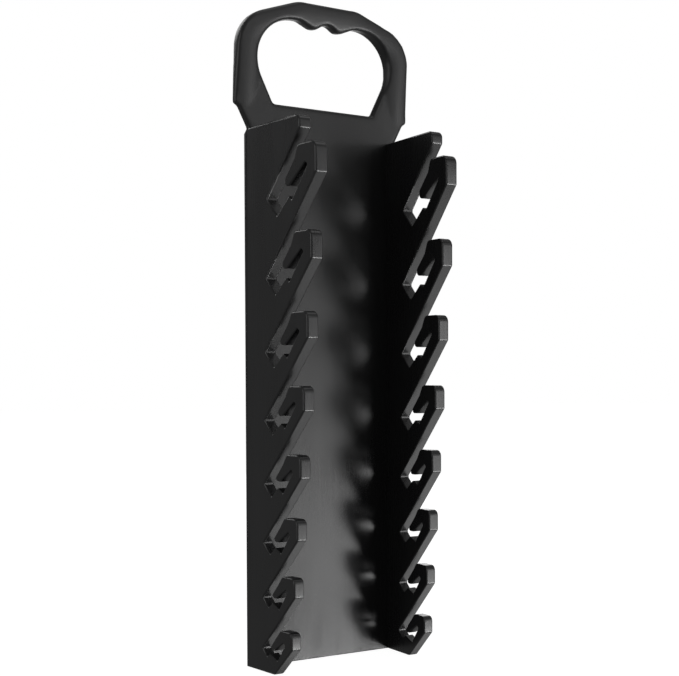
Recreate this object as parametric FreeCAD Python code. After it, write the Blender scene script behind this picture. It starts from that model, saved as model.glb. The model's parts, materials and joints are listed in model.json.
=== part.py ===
import FreeCAD, Part
import math
import os

Vector = FreeCAD.Vector

# A carry rack for eight wrenches: a back plate between two slotted rails, with a handle on top.
# Lengths are in millimetres and angles in degrees. Depth runs from the rack's back towards the
# front, height from its foot upwards, and X across it. Most slot sizes have two values, one for
# the top slot and one for the lowest, and the slots between them take values in between.

# Channel
rail_height = 312.4
root_width_top = 107.7
root_width_foot = 103.6
toe_in = 3.95
rail_thickness_top = 8.3
rail_thickness_foot = 6.2
plate_thickness = 4.0

# Rail ends
crest_depth = 56.4
crest_round = 4.0
crest_slant = 47.7
back_chamfer_depth = 3.3
back_chamfer_height = 2.6
foot_depth = 28.4
foot_slant = 43.0
foot_round = 3.0

# Slots
slot_count = 8
crest_height = 43.2
lowest_corner_height = 13.6
pitch_ratio = 0.927
corner_depth_top = 23.8
corner_depth_foot = 16.8
corner_flat_top = 1.1
corner_flat_foot = 0.8
slant_top = 48.9
slant_foot = 44.9
seat_width_top = 14.2
seat_width_foot = 5.6
seat_fall_top = 45.0
seat_fall_foot = 40.0
seat_draft = 8.0
floor_drop_top = 0.0
floor_drop_foot = 1.5
floor_dip_top = 2.2
floor_dip_foot = 3.0
seat_round = 0.8
peak_round = 0.7
notch_round = 0.6

# Hooks
hook_depth_top = 71.3
hook_depth_foot = 45.6
hook_head_top = 8.6
hook_head_foot = 4.9
hook_nape_top = 72.0
hook_nape_foot = 52.0
hook_front_round_top = 4.8
hook_front_round_foot = 3.0
hook_nape_round = 3.2
hook_chin_round = 2.0
arm_lean_top = 1.0
arm_lean_foot = 7.0

# Spring fingers
slit_reach_top = 37.2
slit_reach_foot = 18.9
slit_depth_top = 17.5
slit_depth_foot = 9.9
slit_width = 2.0
slit_round = 0.9
slit_lean = 12.5
neck_reach_top = 32.4
neck_reach_foot = 15.2
neck_gap_top = 7.9
neck_gap_foot = 4.0
nose_reach_top = 19.8
nose_reach_foot = 8.0
nose_gap_top = 6.6
nose_gap_foot = 3.7
nose_clearance_top = 5.4
nose_clearance_foot = 2.1
nose_round_top = 2.3
nose_round_foot = 1.4
nose_edge_round = 0.6
neck_arc_half = 45.0
neck_clearance = 0.15

# Handle
handle_width = 123.6
handle_shoulder_width = 120.9
handle_height = 78.6
handle_flare_width = 118.0
handle_flare_height = 12.9
handle_waist_width = 104.4
handle_ledge_height = 1.4
handle_corner_round = 23.9
handle_top_length = 42.6
handle_top_round = 21.0
shoulder_slope = 19.2
handle_lean = 5.6
handle_side_depth = 8.4
handle_arch = 2.1
ridge_half_width = 10.2
ridge_corner_round = 17.0
ridge_top_round = 22.0
ridge_shoulder_inset = 6.0

# Hand opening
window_sill_height = 16.6
window_sill_width = 68.2
window_side_slope = 63.4
window_corner_round = 24.2
window_draft = 22.0
window_bar_draft = 8.0
grip_bar_height = 10.3
sill_corner_round = 0.8
bump_spacing = 17.8
bump_length = 3.6
bump_drop = 3.8
bump_outer_run = 8.6
bump_inner_run = 5.6
bump_round = 1.0
bump_blend = 6.0

handle_depth = handle_side_depth + handle_arch

# Shared
round_share = 0.98
cut_margin = 1.0


def stepped(top, foot, slot):
    """A size that changes by equal steps from the top slot to the lowest."""
    return top + (foot - top) * (slot - 1) / (slot_count - 1)


def graded(top, foot, slot):
    """A size that changes by a constant ratio from the top slot to the lowest."""
    return top * (foot / top) ** ((slot - 1) / (slot_count - 1))


def height_graded(top, foot, slot):
    """A size that changes evenly with the height of the slots' deep corners."""
    span = corner_height(1) - corner_height(slot_count)
    return foot + (top - foot) * (corner_height(slot) - corner_height(slot_count)) / span


def direction(angle):
    """Unit step in the depth and height plane, at an angle above the horizontal."""
    return Vector(math.cos(math.radians(angle)), math.sin(math.radians(angle)), 0)


def corner_height(slot):
    """Height of a slot's deep corner: the pitch shrinks by one ratio from slot to slot."""
    top_corner = rail_height - crest_height
    steps = slot_count - 1
    span = top_corner - lowest_corner_height
    first_pitch = span * (1 - pitch_ratio) / (1 - pitch_ratio ** steps)
    fallen = first_pitch * (1 - pitch_ratio ** (slot - 1)) / (1 - pitch_ratio)
    return top_corner - fallen


def meet_depth(point, angle, depth):
    """Point at a given depth on the line through a point at an angle."""
    return Vector(depth, point.y + (depth - point.x) * math.tan(math.radians(angle)), 0)


def meet_height(point, angle, height):
    """Point at a given height on the line through a point at an angle."""
    return Vector(point.x + (height - point.y) / math.tan(math.radians(angle)), height, 0)


def corner_reaches(corners):
    """How far along its edges each corner's round reaches: less where an edge is too short."""
    count = len(corners)
    reaches = []
    for index, corner in enumerate(corners):
        before = corners[index - 1][0] - corner[0]
        after = corners[(index + 1) % count][0] - corner[0]
        reaches.append(corner[1] / math.tan(before.getAngle(after) / 2) if corner[1] else 0)
    fits = [1] * count
    for index in range(count):
        following = (index + 1) % count
        length = corners[index][0].distanceToPoint(corners[following][0])
        both = reaches[index] + reaches[following]
        if both > length * round_share:
            fit = length * round_share / both
            fits[index] = min(fits[index], fit)
            fits[following] = min(fits[following], fit)
    return [reach * fit for reach, fit in zip(reaches, fits)]


def rounded_edges(corners):
    """Edges of a closed outline of (point, radius) corners.

    A third member, where a corner has one, is a point that the edge to the next corner bends
    through as an arc. Both ends of such an edge are sharp.
    """
    starts = []
    ends = []
    arcs = []
    count = len(corners)
    for index, reach in enumerate(corner_reaches(corners)):
        point = corners[index][0]
        if reach == 0:
            ends.append(point)
            starts.append(point)
            arcs.append(None)
            continue
        before = corners[index - 1][0] - point
        after = corners[(index + 1) % count][0] - point
        before.normalize()
        after.normalize()
        half = before.getAngle(after) / 2
        radius = reach * math.tan(half)
        middle = before + after
        middle.normalize()
        ends.append(point + before * reach)
        starts.append(point + after * reach)
        arcs.append(point + middle * (radius / math.sin(half) - radius))
    edges = []
    for index, corner in enumerate(corners):
        following = (index + 1) % count
        if arcs[index] is not None:
            edges.append(Part.Arc(ends[index], arcs[index], starts[index]).toShape())
        if len(corner) == 3:
            edges.append(Part.Arc(starts[index], corner[2], ends[following]).toShape())
        elif starts[index].distanceToPoint(ends[following]) > 1e-6:
            edges.append(Part.LineSegment(starts[index], ends[following]).toShape())
    return edges


def placed_edges(edges, place):
    """Edges of an outline, each point of which is placed in space by a function."""
    placed = []
    for edge in edges:
        first = edge.valueAt(edge.FirstParameter)
        last = edge.valueAt(edge.LastParameter)
        if isinstance(edge.Curve, Part.Circle):
            halfway = edge.valueAt((edge.FirstParameter + edge.LastParameter) / 2)
            placed.append(Part.Arc(place(first), place(halfway), place(last)).toShape())
        else:
            placed.append(Part.LineSegment(place(first), place(last)).toShape())
    return placed


def prism(corners, place, along):
    """Solid of a rounded outline that is placed in space and drawn along a line."""
    outline = Part.Wire(placed_edges(rounded_edges(corners), place))
    return Part.Face(outline).extrude(along)


def block(lower, upper):
    """Solid with six flat faces between two four-sided outlines."""
    faces = []
    for outline in (lower, upper):
        faces.append(Part.Face(Part.makePolygon(outline + outline[:1])))
    for index in range(4):
        following = (index + 1) % 4
        side = [lower[index], lower[following], upper[following], upper[index], lower[index]]
        faces.append(Part.Face(Part.makePolygon(side)))
    return Part.Solid(Part.Shell(faces))


def rack_y(depth):
    """The Y of a depth: the rack's middle is on Y = 0 and its front faces -Y."""
    return hook_depth_top / 2 - depth


def side_view(point):
    """Place in space of a point in the depth and height plane."""
    return Vector(0, rack_y(point.x), point.y)


def front_view(point):
    """Place in space of a point of the handle, given across and up, on the rack's back."""
    return Vector(point.x, rack_y(0), rail_height + point.y)


class Slot:
    """The corners of one slot, of the finger in it and of the hook under it."""

    def __init__(self, slot):
        slant = stepped(slant_top, slant_foot, slot)
        depth = height_graded(corner_depth_top, corner_depth_foot, slot)
        flat = graded(corner_flat_top, corner_flat_foot, slot)
        self.corner = Vector(depth, corner_height(slot), 0)
        self.corner_below = self.corner - Vector(0, flat, 0)
        self.slant = slant
        self.along = direction(slant)
        self.across = direction(slant - 90)

        seat_width = stepped(seat_width_top, seat_width_foot, slot)
        fall = stepped(seat_fall_top, seat_fall_foot, slot)
        floor_drop = stepped(floor_drop_top, floor_drop_foot, slot)
        floor_dip = stepped(floor_dip_top, floor_dip_foot, slot)
        floor_height = self.corner_below.y - floor_drop
        self.seat = self.corner_below + direction(-fall) * seat_width
        self.peak = meet_height(self.seat, slant - seat_draft, floor_height)

        slit_reach = graded(slit_reach_top, slit_reach_foot, slot)
        slit_depth = graded(slit_depth_top, slit_depth_foot, slot)
        arm_slant = slant + stepped(arm_lean_top, arm_lean_foot, slot)
        self.slit = self.inside(slit_reach, slit_depth)
        self.slit_front = self.inside(slit_reach, slit_depth + slit_width)
        self.notch = meet_height(self.slit_front, arm_slant, floor_height - floor_dip)
        self.neck = self.inside(graded(neck_reach_top, neck_reach_foot, slot),
                                graded(neck_gap_top, neck_gap_foot, slot))
        self.nose = self.inside(graded(nose_reach_top, nose_reach_foot, slot),
                                graded(nose_gap_top, nose_gap_foot, slot))
        self.nose_round = graded(nose_round_top, nose_round_foot, slot)
        nose_clearance = stepped(nose_clearance_top, nose_clearance_foot, slot)
        self.nose_heel = Vector(self.nose.x, floor_height + nose_clearance, 0)
        self.nose_edge = meet_height(self.slit, slant - slit_lean, self.nose_heel.y)

        half_neck = self.slit.distanceToPoint(self.neck) / 2
        neck_line = self.slit - self.neck
        neck_line.normalize()
        self.outward = Vector(-neck_line.y, neck_line.x, 0)
        middle = (self.slit + self.neck) * 0.5
        self.hinge = middle - self.outward * (half_neck / math.tan(math.radians(neck_arc_half)))
        self.hinge_radius = half_neck / math.sin(math.radians(neck_arc_half))

        self.front = height_graded(hook_depth_top, hook_depth_foot, slot)
        self.front_round = stepped(hook_front_round_top, hook_front_round_foot, slot)
        self.head_top = self.neck.y + stepped(hook_head_top, hook_head_foot, slot)
        self.nape = stepped(hook_nape_top, hook_nape_foot, slot)

    def inside(self, reach, width):
        """A point of the slot, from its deep corner: up the slanted edge, then away from it."""
        return self.corner_below + self.along * reach + self.across * width


def hook_chin(slots, number):
    """Where a hook's front face meets the slanted edge under it."""
    front = slots[number].front
    if number == slot_count:
        return meet_depth(Vector(foot_depth, 0, 0), foot_slant, front)
    below = slots[number + 1]
    return meet_depth(below.corner, below.slant, front)


def rail_corners(slots):
    """Side outline of a rail, from its top back corner down the slots to its foot."""
    first = slots[1]
    corners = [(Vector(0, rail_height - back_chamfer_height, 0), 0),
               (Vector(back_chamfer_depth, rail_height, 0), 0),
               (Vector(crest_depth, rail_height, 0), crest_round),
               (meet_depth(first.corner, crest_slant, crest_depth), hook_chin_round)]
    for number in range(1, slot_count + 1):
        slot = slots[number]
        chin = hook_chin(slots, number)
        socket = slot.hinge_radius + neck_clearance
        socket_top = slot.hinge + slot.outward * socket
        to_slit = slot.slit - slot.hinge
        to_neck = slot.neck - slot.hinge
        to_slit.normalize()
        to_neck.normalize()
        socket_front = slot.hinge + to_slit * socket
        socket_back = slot.hinge + to_neck * socket
        corners.append((slot.corner, 0))
        corners.append((slot.corner_below, 0))
        corners.append((slot.seat, seat_round))
        corners.append((slot.peak, peak_round))
        corners.append((slot.notch, notch_round))
        corners.append((slot.slit_front, slit_round))
        corners.append((socket_front, 0, socket_top))
        corners.append((socket_back, 0))
        corners.append((meet_height(slot.neck, slot.nape, slot.head_top), hook_nape_round))
        corners.append((Vector(slot.front, slot.head_top, 0), slot.front_round))
        corners.append((chin, hook_chin_round))
    corners.append((Vector(foot_depth, 0, 0), foot_round))
    corners.append((Vector(0, 0, 0), 0))
    return corners


def finger_corners(slot):
    """Side outline of a spring finger, from the slit round its nose to the back of its neck."""
    arc_top = slot.hinge + slot.outward * slot.hinge_radius
    return [(slot.nose_edge, nose_edge_round),
            (slot.nose_heel, slot.nose_round),
            (slot.nose, slot.nose_round),
            (slot.neck, 0, arc_top),
            (slot.slit, 0)]


def rail_x(height, depth, inner):
    """X of a rail's outer or inner face: both lean in to the front and to the foot."""
    share = height / rail_height
    x = (root_width_foot + (root_width_top - root_width_foot) * share) / 2
    if inner:
        x -= rail_thickness_foot + (rail_thickness_top - rail_thickness_foot) * share
    return x - depth * math.tan(math.radians(toe_in))


def wall_space():
    """The leaning slab of space that the right rail and its fingers fill."""
    reach = hook_depth_top + cut_margin
    outlines = []
    for height in (0, rail_height):
        outline = []
        for depth, inner in ((0, False), (reach, False), (reach, True), (0, True)):
            outline.append(Vector(rail_x(height, depth, inner), rack_y(depth), height))
        outlines.append(outline)
    return block(outlines[0], outlines[1])


def wall_piece(corners):
    """A right-hand wall piece with a given side outline."""
    return prism(corners, side_view, Vector(root_width_top, 0, 0)).common(wall_space())


def back_plate():
    """The channel's floor, between the inner faces of the rails."""
    outlines = []
    for height in (0, rail_height):
        back = rail_x(height, 0, True)
        front = rail_x(height, plate_thickness, True)
        outlines.append([Vector(-back, rack_y(0), height),
                         Vector(back, rack_y(0), height),
                         Vector(front, rack_y(plate_thickness), height),
                         Vector(-front, rack_y(plate_thickness), height)])
    return block(outlines[0], outlines[1])


def mirrored(corners):
    """A symmetrical outline from the corners of its right half, from the bottom up."""
    left = [(Vector(-corner[0].x, corner[0].y, 0), corner[1]) for corner in corners]
    return corners + left[::-1]


def handle_corners():
    """Front outline of the handle, above the rails' tops."""
    shoulder_x = handle_shoulder_width / 2
    top_end = handle_top_length / 2
    shoulder = handle_height - (shoulder_x - top_end) * math.tan(math.radians(shoulder_slope))
    ledge = handle_flare_height + handle_ledge_height
    return mirrored([(Vector(handle_waist_width / 2, 0, 0), 0),
                     (Vector(handle_flare_width / 2, handle_flare_height, 0), 0),
                     (Vector(handle_width / 2, ledge, 0), 0),
                     (Vector(shoulder_x, shoulder, 0), handle_corner_round),
                     (Vector(top_end, handle_height, 0), handle_top_round)])


def window_corners(growth, sink):
    """Outline of the hand opening, with two finger bumps under its top bar.

    The growth is how much wider than at the back the opening is here, on each side, and the
    sink is how much lower the underside of its top bar is.
    """
    sill = Vector(window_sill_width / 2 + growth, window_sill_height, 0)
    ceiling = handle_height - grip_bar_height - sink
    side = meet_height(sill, window_side_slope, ceiling)
    bump_height = ceiling - bump_drop
    bump_outer = (bump_spacing + bump_length) / 2
    bump_inner = (bump_spacing - bump_length) / 2
    valley = Vector(0, bump_height + bump_drop * bump_inner / bump_inner_run, 0)
    corners = [(sill, sill_corner_round),
               (side, window_corner_round),
               (Vector(bump_outer + bump_outer_run, ceiling, 0), bump_blend),
               (Vector(bump_outer, bump_height, 0), bump_round),
               (Vector(bump_inner, bump_height, 0), bump_round)]
    left = [(Vector(-corner[0].x, corner[0].y, 0), corner[1]) for corner in corners]
    return corners + [(valley, bump_blend)] + left[::-1]


def window_space():
    """The hand opening's space: to the front its sides open out and its top comes down."""
    reach = handle_depth + cut_margin
    back = placed_edges(rounded_edges(window_corners(0, 0)), front_view)
    growth = reach * math.tan(math.radians(window_draft))
    sink = reach * math.tan(math.radians(window_bar_draft))
    front = placed_edges(rounded_edges(window_corners(growth, sink)), front_view)
    front = [edge.translated(Vector(0, -reach, 0)) for edge in front]
    return Part.makeLoft([Part.Wire(back), Part.Wire(front)], True, True)


def ridge_line():
    """The line that the handle's crowned front follows, up one limb and down the other."""
    ceiling = handle_height - grip_bar_height
    sill = Vector(window_sill_width / 2, window_sill_height, 0)
    widest = meet_height(sill, window_side_slope, ceiling - window_corner_round).x
    limb_x = (handle_shoulder_width / 2 + widest) / 2
    bar_y = handle_height - grip_bar_height / 2
    slope = math.radians(shoulder_slope)
    drop = ridge_shoulder_inset / math.cos(slope)
    limb_top = handle_height - (limb_x - handle_top_length / 2) * math.tan(slope) - drop
    bar_end = handle_top_length / 2 + (handle_height - drop - bar_y) / math.tan(slope)
    return mirrored([(Vector(limb_x, 0, 0), 0),
                     (Vector(limb_x, limb_top, 0), ridge_corner_round),
                     (Vector(bar_end, bar_y, 0), ridge_top_round)])


def handle_block(front, thickness):
    """A block as wide and high as the handle and a little more, behind a front face."""
    corner = Vector(-handle_width / 2 - cut_margin, front, rail_height - cut_margin)
    return Part.makeBox(handle_width + 2 * cut_margin, thickness,
                        handle_height + 2 * cut_margin, corner)


def crown():
    """Space behind the handle's front: a slab with an arched strip along the limbs and the bar.

    It is made upright and then leans back about its top, so the limbs thin towards the plate.
    """
    line = ridge_line()
    path = placed_edges(rounded_edges(line)[:-1], front_view)
    section = []
    for across, depth in ((-ridge_half_width, 0),
                          (-ridge_half_width, handle_side_depth),
                          (0, handle_depth),
                          (ridge_half_width, handle_side_depth),
                          (ridge_half_width, 0)):
        section.append(Vector(line[0][0].x + across, rack_y(depth), rail_height))
    outline = Part.Wire([Part.LineSegment(section[0], section[1]).toShape(),
                         Part.Arc(section[1], section[2], section[3]).toShape(),
                         Part.LineSegment(section[3], section[4]).toShape(),
                         Part.LineSegment(section[4], section[0]).toShape()])
    arch = Part.Wire(path).makePipeShell([outline], True, False)
    thickness = 3 * handle_depth
    slab = handle_block(rack_y(handle_side_depth), thickness)
    whole = slab.fuse(arch)
    top = Vector(0, rack_y(handle_side_depth), rail_height + handle_height)
    whole.rotate(top, Vector(1, 0, 0), handle_lean)
    return whole


def handle():
    """The carry handle: a flat root that swells into crowned limbs and a grip bar."""
    through = Vector(0, -handle_depth - cut_margin, 0)
    body = prism(handle_corners(), front_view, through)
    body = body.cut(window_space())
    root = handle_block(rack_y(plate_thickness), plate_thickness)
    return body.common(crown().fuse(root)).removeSplitter()


def mirror_image(shape):
    """The same piece on the rack's other side."""
    return shape.mirror(Vector(0, 0, 0), Vector(1, 0, 0))


def build():
    """Every piece of the rack, by name."""
    slots = {number: Slot(number) for number in range(1, slot_count + 1)}
    rail = wall_piece(rail_corners(slots))
    pieces = {"back_plate": back_plate(),
              "carry_handle": handle(),
              "right_rail": rail,
              "left_rail": mirror_image(rail)}
    for number in range(1, slot_count + 1):
        finger = wall_piece(finger_corners(slots[number]))
        pieces["right_finger_%d" % number] = finger
        pieces["left_finger_%d" % number] = mirror_image(finger)
    for number in range(1, slot_count + 1):
        hinge = side_view(slots[number].hinge)
        print("finger %d turns about y %.2f z %.2f" % (number, hinge.y, hinge.z))
    return pieces


os.makedirs("parts", exist_ok=True)
for name, shape in build().items():
    solid = shape.Solids[0]
    print("%s: %d solid, %.1f cm3, valid %s" % (name, len(shape.Solids), solid.Volume / 1000,
                                               solid.isValid()))
    solid.exportStep("parts/%s.step" % name)
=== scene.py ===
# %% [markdown]
# # A black plastic wrench rack
#
# The real object is one glossy black moulding: a back plate between two slotted rails, a spring
# finger at every slot and a carry handle on top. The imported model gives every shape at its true
# size. This lesson dresses it: soft edges, plastic that looks moulded, studio light and a camera.

import json
import math

import bmesh
import bpy
from mathutils import Matrix, Vector


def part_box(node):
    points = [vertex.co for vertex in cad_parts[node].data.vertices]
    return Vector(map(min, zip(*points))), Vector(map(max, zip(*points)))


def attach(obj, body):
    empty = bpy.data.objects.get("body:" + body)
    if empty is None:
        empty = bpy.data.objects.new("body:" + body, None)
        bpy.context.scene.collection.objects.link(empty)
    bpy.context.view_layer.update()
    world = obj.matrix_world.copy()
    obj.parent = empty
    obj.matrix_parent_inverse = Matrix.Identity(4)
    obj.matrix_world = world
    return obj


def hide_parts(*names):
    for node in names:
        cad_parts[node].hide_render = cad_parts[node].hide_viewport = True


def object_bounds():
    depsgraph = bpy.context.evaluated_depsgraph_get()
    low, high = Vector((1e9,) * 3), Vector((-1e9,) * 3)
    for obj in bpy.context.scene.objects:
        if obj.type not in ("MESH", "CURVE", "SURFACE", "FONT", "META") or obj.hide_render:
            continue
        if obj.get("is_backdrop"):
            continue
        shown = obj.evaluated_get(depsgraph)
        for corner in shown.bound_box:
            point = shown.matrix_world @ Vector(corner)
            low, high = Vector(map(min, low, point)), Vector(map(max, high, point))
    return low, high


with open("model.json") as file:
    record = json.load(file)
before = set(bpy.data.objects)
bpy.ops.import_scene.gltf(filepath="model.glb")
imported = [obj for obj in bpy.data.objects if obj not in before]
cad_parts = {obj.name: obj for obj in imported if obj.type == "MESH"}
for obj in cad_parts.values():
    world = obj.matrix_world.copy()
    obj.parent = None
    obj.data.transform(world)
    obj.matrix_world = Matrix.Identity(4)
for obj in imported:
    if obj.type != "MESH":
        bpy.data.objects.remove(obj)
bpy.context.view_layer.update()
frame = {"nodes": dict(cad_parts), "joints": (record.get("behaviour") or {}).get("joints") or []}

# %% [markdown]
# Lengths in this file are in metres, as Blender counts them. Naming one millimetre makes the
# sizes below readable. The rack's back is the plane with the highest Y, and its front faces -Y.

# %% Sizes that the cells share
MM = 0.001
BODY = "rack"
BACK_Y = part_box("back_plate")[1].y
PLATE_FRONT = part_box("back_plate")[0].y
RAIL_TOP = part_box("back_plate")[1].z
print("back at y", round(BACK_Y / MM, 1), "mm, rail tops at z", round(RAIL_TOP / MM, 1), "mm")

# %% [markdown]
# ## The camera
#
# The photograph shows the rack from the left and slightly above its middle, at about 33 degrees
# to its front, through a lens a little longer than normal. The camera goes to the same place.
# Its rotation is built from three angles: it turns to the right, looks up a little and hardly
# rolls.

# %% Place the camera
camera_data = bpy.data.cameras.new("camera")
camera = bpy.data.objects.new("camera", camera_data)
bpy.context.scene.collection.objects.link(camera)
bpy.context.scene.camera = camera
camera.location = (-420.1 * MM, BACK_Y - 663.9 * MM, 165.8 * MM)
turn = Matrix.Rotation(math.radians(-33.12), 3, "Z")
look_up = Matrix.Rotation(math.radians(90 + 1.82), 3, "X")
roll = Matrix.Rotation(math.radians(-0.15), 3, "Z")
camera.rotation_euler = (turn @ look_up @ roll).to_euler()
camera_data.sensor_width = 36
camera_data.lens = 68.88
print("camera at", [round(v / MM) for v in camera.location], "mm")

# %% [markdown]
# ## Shader maths as plain expressions
#
# A material is a net of nodes. Writing the maths as Python expressions keeps it readable, so a
# small class wraps a socket: `mask * 0.5 + 1` adds the Math nodes itself. Every other kind of
# node comes from one method that takes its type, its settings and its inputs.


# %% A socket that can be added and multiplied
class Value:
    """The output of a node, in sums."""

    def __init__(self, net, socket):
        self.net = net
        self.socket = socket

    def maths(self, operation, other, swapped=False):
        pair = (other, self) if swapped else (self, other)
        return self.net.node("ShaderNodeMath", {"operation": operation}, {0: pair[0], 1: pair[1]})

    def __add__(self, other):
        return self.maths("ADD", other)

    def __radd__(self, other):
        return self.maths("ADD", other, True)

    def __mul__(self, other):
        return self.maths("MULTIPLY", other)

    def __rmul__(self, other):
        return self.maths("MULTIPLY", other, True)


class Net:
    """The nodes of a material or of the world."""

    def __init__(self, owner):
        owner.use_nodes = True
        self.tree = owner.node_tree
        self.tree.nodes.clear()

    def node(self, kind, settings=None, inputs=None, output=0):
        made = self.tree.nodes.new(kind)
        for name, value in (settings or {}).items():
            if name == "stops":
                ramp = made.color_ramp.elements
                while len(ramp) < len(value):
                    ramp.new(1)
                for stop, (place, colour) in zip(ramp, value):
                    stop.position = place
                    stop.color = colour
            else:
                setattr(made, name, value)
        for name, value in (inputs or {}).items():
            if isinstance(value, Value):
                self.tree.links.new(value.socket, made.inputs[name])
            else:
                made.inputs[name].default_value = value
        return Value(self, made.outputs[output]) if made.outputs else None


# %% [markdown]
# ## The plastic
#
# The rack is moulded in a black plastic. Three things make such plastic look real: its colour is
# not quite black and differs a little from place to place where the melt cooled, its gloss is
# uneven in soft clouds with fine dull specks, and its skin has a faint ripple that breaks up the
# reflections. On the plate and the rails the melt ran along the mould, so the clouds there are
# stretched along the height.
#
# The plate is glossiest at its foot and gradually gets duller upwards, and the handle is duller
# still. A painted picture could show all this, but a procedural material stays sharp at any
# distance. It lies in object space, so it keeps its true size on every piece.

# %% Make the plastic
HANDLED_SPAN = 35 * MM
FADE_START = 70 * MM
FADE_END = 170 * MM


def moulded_plastic(name, dark, light, gloss, haze, stretch, ripple, ripple_size, fade=0.0):
    """Black plastic with clouds, specks and a ripple.

    Gloss and haze are its roughness limits, and fade is how much rougher it gets upwards.
    """
    material = bpy.data.materials.new(name)
    net = Net(material)
    place = net.node("ShaderNodeTexCoord", output="Object")
    flow = net.node("ShaderNodeMapping", {}, {"Vector": place, "Scale": (1, 1, stretch)})
    clouds = net.node("ShaderNodeTexNoise", {}, {"Vector": flow, "Scale": 38, "Detail": 4})
    streaks = net.node("ShaderNodeMapping", {}, {"Vector": place, "Scale": (1, 1, stretch * 0.12)})
    lines = net.node("ShaderNodeTexNoise", {}, {"Vector": streaks, "Scale": 900, "Detail": 2})
    specks = net.node("ShaderNodeTexNoise", {}, {"Vector": place, "Scale": 2600, "Detail": 2})

    mottle = clouds * 0.7 + lines * 0.3
    colour = net.node("ShaderNodeValToRGB", {"stops": ((0.3, dark), (0.7, light))}, {0: mottle})
    worn = net.node("ShaderNodeMapRange", {}, {0: mottle, 1: 0.3, 2: 0.7, 3: gloss, 4: haze})
    dull = net.node("ShaderNodeMapRange", {}, {0: specks, 1: 0.55, 2: 0.75, 3: 0, 4: 0.08})
    level = net.node("ShaderNodeSeparateXYZ", {}, {0: place}, output="Z")
    handled = net.node("ShaderNodeMapRange", {}, {0: level, 1: RAIL_TOP, 2: RAIL_TOP + HANDLED_SPAN,
                                                  3: 0, 4: 0.06})
    faded = net.node("ShaderNodeMapRange", {}, {0: level, 1: FADE_START, 2: FADE_END, 3: 0, 4: fade})

    swell = net.node("ShaderNodeTexNoise", {}, {"Vector": flow, "Scale": ripple_size, "Detail": 1})
    height = swell + specks * 0.02 + lines * 0.05
    skin = net.node("ShaderNodeBump", {}, {"Strength": ripple,
                                           "Distance": 0.4 * MM,
                                           "Height": height})

    surface = net.node("ShaderNodeBsdfPrincipled", {}, {"Base Color": colour,
                                                       "Roughness": worn + dull + handled + faded,
                                                       "Normal": skin,
                                                       "IOR": 1.49})
    net.node("ShaderNodeOutputMaterial", {}, {"Surface": surface})
    return material


def grey(level, tint=0.04):
    """A near-neutral colour, a touch cooler than grey."""
    return (level, level, level * (1 + tint), 1)


rail_plastic = moulded_plastic("rail_plastic", grey(0.008), grey(0.013), gloss=0.22, haze=0.34,
                               stretch=0.35, ripple=0.25, ripple_size=60)
plate_plastic = moulded_plastic("plate_plastic", grey(0.006), grey(0.011), gloss=0.15, haze=0.24,
                                stretch=0.2, ripple=0.30, ripple_size=45, fade=0.15)
grip_plastic = moulded_plastic("grip_plastic", grey(0.006), grey(0.011), gloss=0.15, haze=0.24,
                               stretch=0.2, ripple=0.30, ripple_size=45, fade=0.15)
finger_plastic = moulded_plastic("finger_plastic", grey(0.008), grey(0.013), gloss=0.22, haze=0.34,
                                 stretch=0.6, ripple=0.25, ripple_size=60)
print("made", len(bpy.data.materials), "materials")

# %% [markdown]
# ## Soft edges
#
# No moulded edge is knife sharp: each one here is rounded by about a millimetre and catches a
# line of light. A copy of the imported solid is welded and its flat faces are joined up. Then the
# edges to soften are marked with a weight, and a Bevel modifier rounds them. The rounds on the
# outer faces are the widest. Where two pieces of the one moulding run into each other the edge
# stays sharp, so no groove shows there.

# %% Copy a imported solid
WELD = 0.002 * MM


def solid_copy(node):
    """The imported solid's shape as welded, joined-up faces."""
    shape = bmesh.new()
    shape.from_mesh(frame["nodes"][node].data)
    bmesh.ops.remove_doubles(shape, verts=shape.verts, dist=WELD)
    bmesh.ops.dissolve_limit(shape, angle_limit=math.radians(0.5),
                             verts=shape.verts, edges=shape.edges)
    return shape


print("corners closer than", round(WELD / MM, 3), "mm are welded")

# %% [markdown]
# A round can't be wider than a corner's own radius, or the faces fold over. So corners tighter
# than that are first drawn together into a single line. Merging points on the finished solid
# could do that too, but it can lose side faces with many corners. So the prism is built anew from
# its simplified outline.

# %% Draw tight corners together
LEAST_RADIUS = 1.35 * MM


def side_faces(shape):
    """The two faces with the profile's outline."""
    return sorted(shape.faces, key=lambda face: -len(face.verts))[:2]


def turns(face):
    """The signed angle by which the outline turns at each of its corners."""
    angles = []
    for loop in face.loops:
        before = loop.vert.co - loop.link_loop_prev.vert.co
        after = loop.link_loop_next.vert.co - loop.vert.co
        sign = 1 if before.cross(after).dot(face.normal) > 0 else -1
        angles.append(sign * before.angle(after))
    return angles


def across(vertex, face):
    """The vertex that lies straight opposite, on the other side face."""
    others = [edge.other_vert(vertex) for edge in vertex.link_edges if face not in edge.link_faces]
    return min(others, key=lambda other: (other.co.yz - vertex.co.yz).length)


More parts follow.
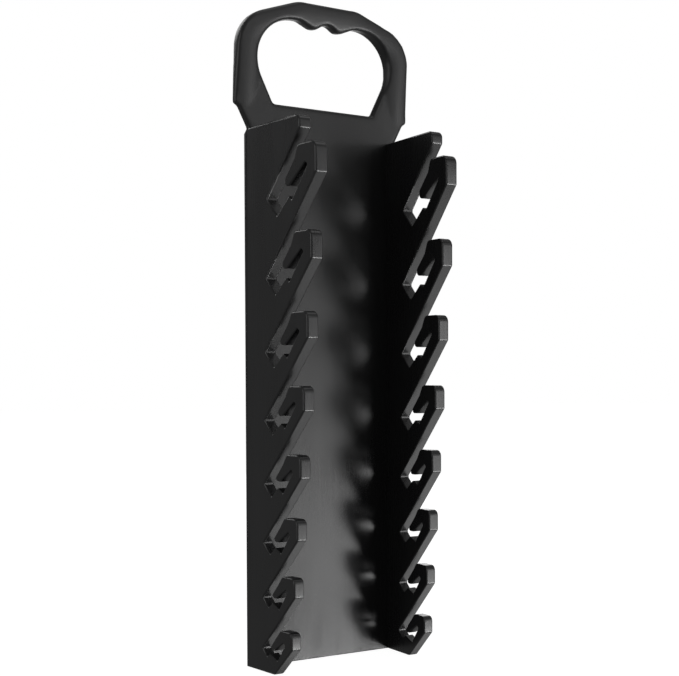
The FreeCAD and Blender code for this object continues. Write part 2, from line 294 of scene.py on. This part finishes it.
def draw_corners_together(shape, least_radius):
    """The same prism, with each outward corner tighter than the radius drawn into one line."""
    face = side_faces(shape)[0]
    corners = [loop.vert for loop in face.loops]
    angles = turns(face)
    count = len(corners)
    tight = []
    for k in range(count):
        low, high = sorted((angles[k], angles[(k + 1) % count]))
        chord = (corners[(k + 1) % count].co - corners[k].co).length
        tight.append(low > math.radians(1.5) and chord < high * least_radius)
    start = tight.index(False) + 1
    kept = []
    run = []
    for step in range(count):
        k = (start + step) % count
        run.append(corners[k])
        if not tight[k]:
            kept.append(run[len(run) // 2])
            run = []
    result = bmesh.new()
    near = [result.verts.new(vertex.co) for vertex in kept]
    far = [result.verts.new(across(vertex, face).co) for vertex in kept]
    result.faces.new(near)
    result.faces.new(far[::-1])
    for k in range(len(kept)):
        result.faces.new((near[k], near[k - 1], far[k - 1], far[k]))
    shape.free()
    bmesh.ops.remove_doubles(result, verts=result.verts, dist=WELD)
    bmesh.ops.recalc_face_normals(result, faces=result.faces)
    return result


print("corners tighter than", round(LEAST_RADIUS / MM, 2), "mm are drawn together")

# %% [markdown]
# Each edge gets a weight between 0 and 1, which is its share of the widest round. The Bevel
# modifier keeps the rounds editable and leaves the marked shape as it is.

# %% Mark, round and hand over a piece
WIDEST = 1.3 * MM
HAIR = 0.01 * MM


def mark_edges(shape, weigh, least_angle=28):
    """Gives each sharp edge the weight that a function finds for it."""
    shape.normal_update()
    weight = shape.edges.layers.float.new("bevel_weight_edge")
    count = 0
    for edge in shape.edges:
        if len(edge.link_faces) == 2 and edge.calc_face_angle() > math.radians(least_angle):
            edge[weight] = weigh(edge)
            count += edge[weight] > 0
    return count


def finish_piece(name, shape, width, material, body, *nodes):
    """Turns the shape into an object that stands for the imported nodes."""
    mesh = bpy.data.meshes.new(name)
    shape.to_mesh(mesh)
    shape.free()
    mesh.materials.append(material)
    piece = bpy.data.objects.new(name, mesh)
    bpy.context.scene.collection.objects.link(piece)
    mesh.shade_smooth()
    mesh.set_sharp_from_angle(angle=math.radians(32))
    if width:
        soften = piece.modifiers.new("soft_edges", "BEVEL")
        soften.limit_method = "WEIGHT"
        soften.width = width
        soften.segments = 4
        soften.use_clamp_overlap = False
        soften.harden_normals = True
    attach(piece, body)
    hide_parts(*nodes)


print("the widest round is", round(WIDEST / MM, 1), "mm")

# %% [markdown]
# ## The rails
#
# Each rail is one profile of slots and hooks. At every hook a finger grows out of it, so the arc
# where they meet is not softened. The arcs could be listed by hand, but the joints of the packed
# record already give their centres, and the fingers' own points give their radii.

# %% Find the arcs where the fingers grow
hinges = {}
for joint in frame["joints"]:
    hinges[joint["child"]] = Vector(joint["pos_m"])


def arc_radius(finger):
    """How far a finger's root arc is from its hinge: the farthest point above the hinge."""
    centre = hinges[finger]
    above = [v.co for v in frame["nodes"][finger].data.vertices if v.co.z > centre.z]
    return max(math.hypot(p.y - centre.y, p.z - centre.z) for p in above)


radii = {finger: arc_radius(finger) for finger in hinges}
print("found", len(radii), "arcs")


def near_arc(point, side, slack=0.25 * MM):
    """True if the point lies on the arc where a finger of that side joins its hook."""
    for finger, centre in hinges.items():
        if finger.startswith(side):
            reach = math.hypot(point.y - centre.y, point.z - centre.z) - radii[finger]
            if abs(reach) < slack and point.z > centre.z + 0.3 * radii[finger]:
                return True
    return False


# %% [markdown]
# The rounds get a little narrower towards the foot, as the hooks and fingers do, and those on the
# outer faces are the widest. Each rail is also divided in line with the plate's front, because
# behind it the plate and the handle grow on.

# %% Dress the rails
OUTER_AT_FOOT = 0.68
OUTER_GAIN = 0.32
INNER_AT_FOOT = 0.55
INNER_GAIN = 0.2
CROSSWAYS = 0.2


def profile_weight(side, outward):
    """The weight of a rail's or a finger's edge, from the faces that it joins."""
    def weigh(edge):
        ends = [vertex.co for vertex in edge.verts]
        if near_arc(ends[0], side) and near_arc(ends[1], side):
            return 0
        beside_plate = min(ends[0].y, ends[1].y) > PLATE_FRONT - HAIR
        under_handle = min(ends[0].z, ends[1].z) > RAIL_TOP - 1 * MM
        if beside_plate and under_handle:
            return 0
        height = (ends[0].z + ends[1].z) / 2 / RAIL_TOP
        facing = [face.normal.x * outward for face in edge.link_faces]
        if max(facing) > 0.9:
            return OUTER_AT_FOOT + OUTER_GAIN * height
        if min(facing) < -0.9:
            return 0 if beside_plate else INNER_AT_FOOT + INNER_GAIN * height
        return CROSSWAYS if edge.is_convex else 0
    return weigh


for side, outward in (("left", -1), ("right", 1)):
    rail = side + "_rail"
    shape = draw_corners_together(solid_copy(rail), LEAST_RADIUS)
    bmesh.ops.bisect_plane(shape, geom=shape.verts[:] + shape.edges[:] + shape.faces[:],
                           plane_co=(0, PLATE_FRONT, 0), plane_no=(0, 1, 0))
    marked = mark_edges(shape, profile_weight(side, outward))
    finish_piece(side + "_rail_moulding", shape, WIDEST, rail_plastic, BODY, rail)
    print(rail, "has", marked, "soft edges")

# %% [markdown]
# ## The spring fingers
#
# A spring finger narrows each slot's mouth and gives way when a wrench goes in. In the packed
# model a hair's breadth of air lets each finger turn. On the real moulding there is none, so the
# copy's root arc grows until it meets the hook. Moving only the arc's points leaves the rest of
# the finger at its packed size.

# %% Dress the fingers
gap = 0.15 * MM
for finger, centre in hinges.items():
    shape = draw_corners_together(solid_copy(finger), LEAST_RADIUS)
    side = finger.split("_")[0]
    mark_edges(shape, profile_weight(side, -1 if side == "left" else 1))
    radius = radii[finger]
    for vertex in shape.verts:
        out = Vector((0, vertex.co.y - centre.y, vertex.co.z - centre.z))
        if abs(out.length - radius) < 0.05 * MM and out.z > 0.3 * radius:
            vertex.co += out.normalized() * gap
    finish_piece(finger + "_moulding", shape, WIDEST, finger_plastic, finger, finger)
print("dressed", len(hinges), "fingers")

# %% [markdown]
# ## The plate and the handle
#
# The plate runs into both rails and into the handle, so only its bottom edge is softened.

# %% Dress the plate
PLATE_WEIGHT = 0.4
shape = solid_copy("back_plate")
mark_edges(shape, lambda edge: PLATE_WEIGHT if max(v.co.z for v in edge.verts) < 1 * MM else 0)
finish_piece("plate_moulding", shape, WIDEST, plate_plastic, BODY, "back_plate")
print("dressed the plate")

# %% [markdown]
# The handle is a soft, crowned form with wide rounds, because a hand holds it. A bevel alone
# leaves creases where wide rounds meet. So its edges are rounded first, and then its skin is laid
# again as a fine even net that can be smoothed a little, as a polished mould would leave it.


# %% Helpers for the handle
def laid_again(shape, voxel):
    """The same form with its skin as a fine even net."""
    mesh = bpy.data.meshes.new("laid_again")
    shape.to_mesh(mesh)
    shape.free()
    holder = bpy.data.objects.new("laid_again", mesh)
    bpy.context.scene.collection.objects.link(holder)
    remesh = holder.modifiers.new("net", "REMESH")
    remesh.mode = "VOXEL"
    remesh.voxel_size = voxel
    result = bmesh.new()
    result.from_object(holder, bpy.context.evaluated_depsgraph_get())
    bpy.data.objects.remove(holder)
    bpy.data.meshes.remove(mesh)
    return result


def round_group(shape, edges, width):
    """Rounds the edges by a width, all at once."""
    bmesh.ops.bevel(shape, geom=edges, offset=width, offset_type="OFFSET", segments=4, profile=0.5,
                    affect="EDGES", clamp_overlap=False)


# %% [markdown]
# The handle's root is made longer before its skin is laid again and cut level with the rails'
# tops afterwards, so that it still ends flat on the plate. The rims in front are the widest,
# because the hand lies on them.

# %% Dress the handle
ROOT_EXTRA = 4 * MM
BACK_RIM = 0.8 * MM
FRONT_RIM = 1.9 * MM
NET_SIZE = 0.6 * MM
SMOOTHINGS = 14
shape = solid_copy("carry_handle")
foot = [face for face in shape.faces if max(v.co.z for v in face.verts) < RAIL_TOP + HAIR]
grown = bmesh.ops.extrude_face_region(shape, geom=foot)
for item in grown["geom"]:
    if isinstance(item, bmesh.types.BMVert):
        item.co.z -= ROOT_EXTRA
bmesh.ops.delete(shape, geom=foot, context="FACES")
front_rims = []
back_rims = []
for edge in shape.edges:
    if len(edge.link_faces) != 2 or edge.calc_face_angle() < math.radians(40) or not edge.is_convex:
        continue
    if min(v.co.z for v in edge.verts) < RAIL_TOP - ROOT_EXTRA + 0.1 * MM:
        continue
    at_back = min(v.co.y for v in edge.verts) > BACK_Y - 0.1 * MM
    (back_rims if at_back else front_rims).append(edge)
print("handle rims", len(front_rims), "in front and", len(back_rims), "behind")
round_group(shape, back_rims, BACK_RIM)
front_rims = [edge for edge in front_rims if edge.is_valid]
round_group(shape, front_rims, FRONT_RIM)
shape = laid_again(shape, NET_SIZE)
for _ in range(SMOOTHINGS):
    bmesh.ops.smooth_vert(shape, verts=shape.verts, factor=0.5,
                          use_axis_x=True, use_axis_y=True, use_axis_z=True)
cut = bmesh.ops.bisect_plane(shape, geom=shape.verts[:] + shape.edges[:] + shape.faces[:],
                             plane_co=(0, 0, RAIL_TOP), plane_no=(0, 0, -1), clear_outer=True)
rim = [item for item in cut["geom_cut"] if isinstance(item, bmesh.types.BMEdge)]
bmesh.ops.holes_fill(shape, edges=rim)
print("the handle's net has", len(shape.faces), "faces")
finish_piece("handle_moulding", shape, 0, grip_plastic, BODY, "carry_handle")

# %% [markdown]
# ## The floor
#
# The rack stands on a plain pale floor in front of white, as in a catalogue. The floor glows
# instead of being lit, so that no lamp leaves a pool of light on it. It is left out of the
# plastic's reflections, because a bright floor would lie in every black face that looks down.

# %% Make the floor
floor_mesh = bpy.data.meshes.new("floor")
shape = bmesh.new()
bmesh.ops.create_grid(shape, x_segments=1, y_segments=1, size=6)
shape.to_mesh(floor_mesh)
shape.free()
floor = bpy.data.objects.new("floor", floor_mesh)
bpy.context.scene.collection.objects.link(floor)
floor.visible_glossy = False
floor.visible_diffuse = False
floor.visible_shadow = False
floor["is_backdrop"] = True
paper_material = bpy.data.materials.new("floor_paper")
paper = Net(paper_material)
grain = paper.node("ShaderNodeTexNoise", {}, {"Scale": 4, "Detail": 2})
paper_colour = paper.node("ShaderNodeValToRGB", {"stops": ((0, grey(0.16, 0)), (1, grey(0.18, 0)))},
                          {0: grain})
paper_surface = paper.node("ShaderNodeBsdfPrincipled", {}, {"Base Color": paper_colour,
                                                            "Roughness": 0.9,
                                                            "Specular IOR Level": 0,
                                                            "Emission Color": (1, 1, 1, 1),
                                                            "Emission Strength": 0.97})
paper.node("ShaderNodeOutputMaterial", {}, {"Surface": paper_surface})
floor_mesh.materials.append(paper_material)
print("made the floor")

# %% [markdown]
# ## The room
#
# The camera sees white behind the rack, but the plastic sees a dim room, so that it stays black
# where no lamp lies in it. The world tells the two apart by the kind of ray.

# %% Make the room
ROOM = 0.2
world = bpy.data.worlds.new("world")
bpy.context.scene.world = world
room = Net(world)
ray = room.node("ShaderNodeLightPath", output="Is Camera Ray")
brightness = room.node("ShaderNodeMapRange", {}, {0: ray, 3: ROOM, 4: 1})
glow = room.node("ShaderNodeBackground", {}, {"Color": (1, 1, 1, 1), "Strength": brightness})
room.node("ShaderNodeOutputWorld", {}, {"Surface": glow})
print("the room's brightness is", ROOM)

# %% [markdown]
# ## The lamps
#
# Black plastic shows almost nothing but reflections, so each softbox is placed where a set of
# faces mirrors it:
#
# - the front lamps lie in the hooks' fronts and the plate, and the low lamp in the hooks' chins,
# - the under lamp lies in the slanted undersides of the hooks,
# - the brow lamp lies in the handle's front and the flank lamp in its crowned flanks,
# - the top lamp lies in the crowns of the hooks, and the back and rear lamps in level ledges and
#   the rounds above them. The left lamp only matters for other views.

# %% Make the lamps
LAMP_DISTANCE = 1.5
AIM_POINT = Vector((0, 0, 0.17))


def softbox(name, direction, width, height, radiance):
    """A large flat lamp that the rack sees in a direction, as bright as its radiance."""
    data = bpy.data.lights.new(name, "AREA")
    data.shape = "RECTANGLE"
    data.size = width
    data.size_y = height
    data.energy = radiance * math.pi * width * height
    lamp = bpy.data.objects.new(name, data)
    bpy.context.scene.collection.objects.link(lamp)
    aim = Vector(direction).normalized()
    lamp.location = AIM_POINT + aim * LAMP_DISTANCE
    lamp.rotation_euler = aim.to_track_quat("Z", "Y").to_euler()
    lamp.visible_camera = False


softbox("front_lamp", (0.60, -0.78, -0.175), 0.4, 0.32, 4.3)
softbox("upper_front_lamp", (0.641, -0.764, 0.07), 0.34, 0.42, 4.2)
softbox("low_lamp", (0.56, -0.71, -0.44), 0.6, 0.22, 28)
softbox("under_lamp", (0.60, -0.06, -0.80), 0.9, 0.9, 1.3)
softbox("brow_lamp", (0.53, -0.76, 0.42), 1.2, 0.6, 0.5)
softbox("flank_lamp", (0.06, -0.91, 0.42), 0.5, 0.5, 1.6)
softbox("top_lamp", (0.2, -0.15, 0.97), 1.0, 1.0, 1.0)
softbox("left_lamp", (-1.0, -0.13, 0.2), 0.9, 1.2, 1.5)
softbox("back_lamp", (0.545, 0.80, 0.22), 0.9, 0.8, 1.8)
softbox("rear_lamp", (-0.1, 0.84, 0.53), 0.9, 0.5, 3.5)
bpy.context.scene.view_settings.view_transform = "Standard"
print("lit by", len(bpy.data.lights), "lamps")

# %% Write the sizes and finish
visual_box = [list(corner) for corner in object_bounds()]
print("visual box", [[round(v / MM, 1) for v in corner] for corner in visual_box])
